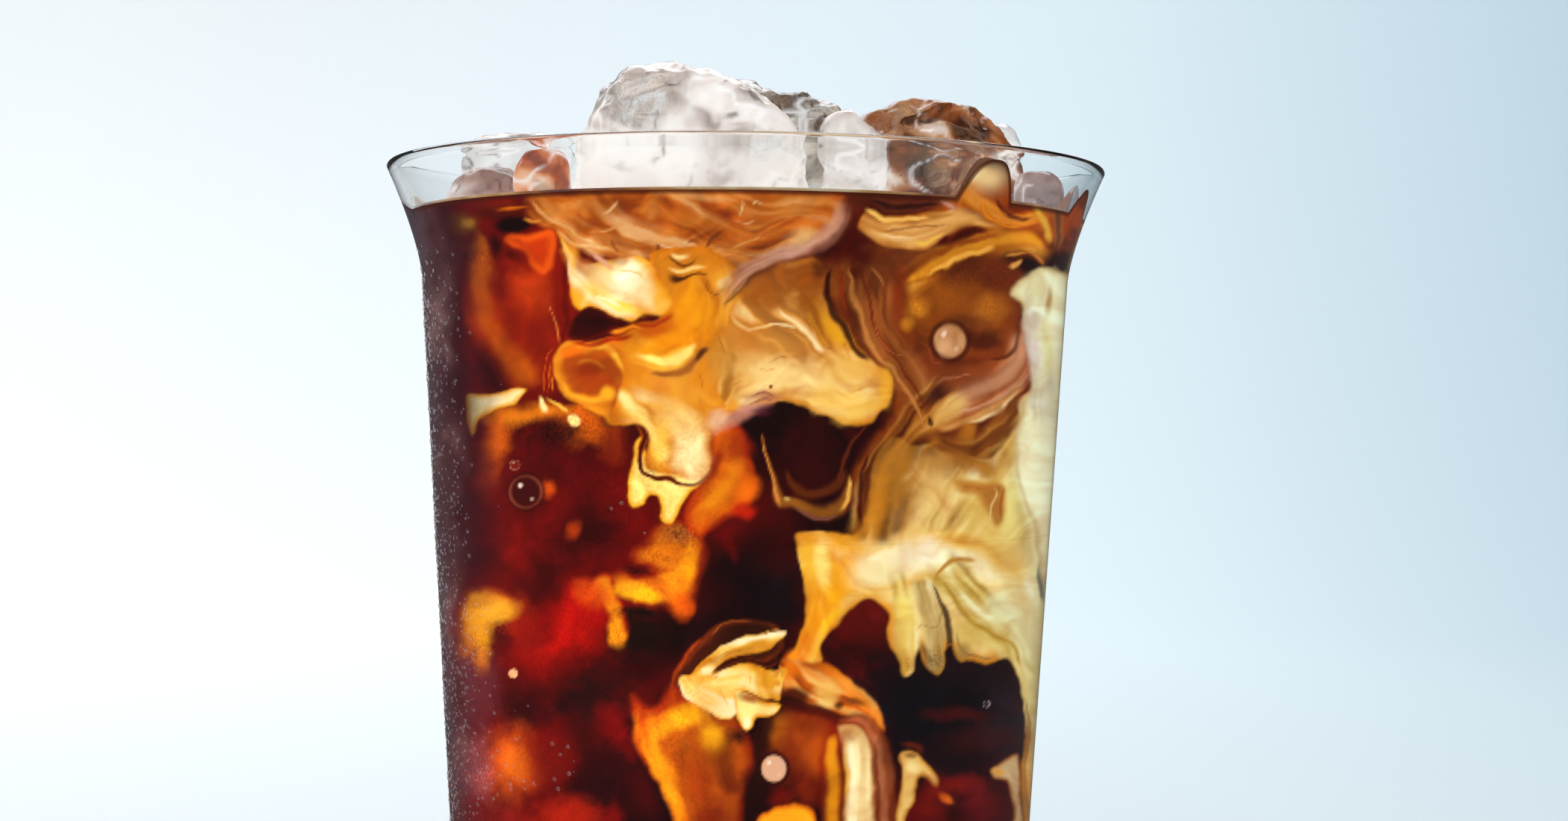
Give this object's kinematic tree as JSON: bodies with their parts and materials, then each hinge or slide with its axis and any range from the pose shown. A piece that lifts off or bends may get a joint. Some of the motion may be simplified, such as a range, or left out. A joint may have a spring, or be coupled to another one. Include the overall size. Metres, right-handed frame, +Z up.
{
  "type": "glass of iced coffee with cream",
  "caption": "Thin tumbler with a flared lip, filled with iced coffee marbled by poured cream, with lumps of melting ice standing above the rim.",
  "frame": {"origin": "middle of the glass's underside, on the surface that it stands on", "axes": "+Z up along the glass's axis, -Y towards the side that the cream runs down"},
  "size_m": [0.0876, 0.0876, 0.1549],
  "materials": {
    "glass": "clear, thin blown soda-lime glass",
    "coffee": "cold black coffee marbled with pale cream, near black through amber to ivory",
    "ice": "wet clear ice tinted by the coffee",
    "cloudy_ice": "wet milky ice, full of fine air bubbles"
  },
  "bodies": {
    "root": {"glass": "glass", "coffee": "coffee", "ice_dome": "cloudy_ice", "ice_back": "ice", "ice_ridge": "ice", "ice_middle": "ice", "ice_left_back": "ice", "ice_left_low": "ice", "ice_left_round": "ice", "ice_right_low": "ice", "ice_right_back": "ice", "ice_back_left": "ice"}
  },
  "joints": []
}
